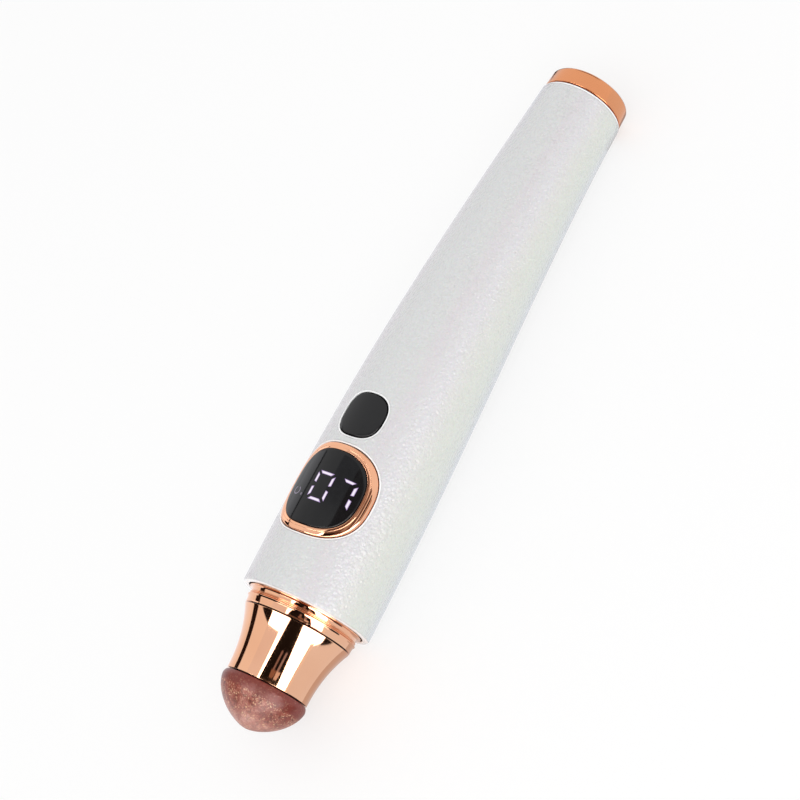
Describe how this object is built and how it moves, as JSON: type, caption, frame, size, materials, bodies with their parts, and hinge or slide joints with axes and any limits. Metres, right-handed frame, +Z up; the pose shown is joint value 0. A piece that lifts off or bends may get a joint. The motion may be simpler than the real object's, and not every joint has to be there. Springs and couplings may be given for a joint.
{
  "type": "eye massager wand",
  "caption": "Bowed, tapered hand wand with a warmed stone tip, a flared metallic collar, a square display, a push button and a charging socket in its tail cap.",
  "frame": {"origin": "centre of the wand's footprint, on the surface that it lies on", "axes": "+X from the stone head to the tail cap, +Z up out of the display, +Y across"},
  "size_m": [0.1592, 0.029, 0.0295],
  "materials": {
    "pearl_coating": "pearl white coating with a fine pebble grain",
    "rose_gold": "rose gold plating, polished",
    "black_gloss": "black gloss",
    "red_stone": "polished red brown stone",
    "circuit_board": "green solder mask",
    "white_plastic": "moulded, plain",
    "black_plastic": "moulded, plain",
    "bright_steel": "nickel plated",
    "weight_metal": "sintered, grey",
    "plain_aluminium": "turned",
    "battery_wrap": "blue shrink wrap",
    "black_rubber": "moulded rubber",
    "amber_film": "amber film",
    "red_wire": "red insulation",
    "black_wire": "black insulation"
  },
  "bodies": {
    "wand": {"barrel": "pearl_coating", "display_bezel": "rose_gold", "display_window": "black_gloss", "switch_body": "bright_steel", "main_board": "circuit_board", "display_module": "black_plastic", "controller_chip": "black_plastic", "power_coil": "black_plastic", "capacitor_1": "amber_film", "capacitor_2": "amber_film", "board_screw_left": "bright_steel", "board_screw_right": "bright_steel", "inner_tray": "white_plastic", "battery_cell": "battery_wrap", "motor_can": "bright_steel", "motor_end_cap": "black_plastic", "motor_sleeve": "black_rubber", "trim_ring": "rose_gold", "head_collar": "rose_gold", "massage_stone": "red_stone", "stone_seal": "black_rubber", "heat_spreader": "plain_aluminium", "heater_film": "amber_film", "thermistor": "black_plastic", "heater_ribbon": "amber_film", "tail_cap": "rose_gold", "charging_board": "circuit_board", "socket_shell": "bright_steel", "socket_tongue": "black_plastic", "motor_lead_red": "red_wire", "motor_lead_black": "black_wire", "battery_lead_red": "red_wire", "battery_lead_black": "black_wire", "charge_lead_red": "red_wire", "charge_lead_black": "black_wire"},
    "button": {"power_button": "black_gloss"},
    "stem": {"switch_stem": "black_plastic"},
    "rotor": {"motor_shaft": "bright_steel", "eccentric_weight": "weight_metal"}
  },
  "joints": [
    {"name": "button_press", "type": "slide", "parent": "wand", "child": "button", "axis": [0, 0, -1], "range_m": [0, 0.0004], "stiffness_N_per_m": 1500},
    {"name": "stem_press", "type": "slide", "parent": "wand", "child": "stem", "axis": [0, 0, -1], "range_m": [0, 0.0004]},
    {"name": "motor_spin", "type": "hinge", "parent": "wand", "child": "rotor", "pos_m": [-0.05614, 0, 0.0145], "axis": [1, 0, 0], "continuous": true}
  ],
  "couplings": [
    {"joint": "stem_press", "follows": "button_press", "ratio": 1}
  ]
}
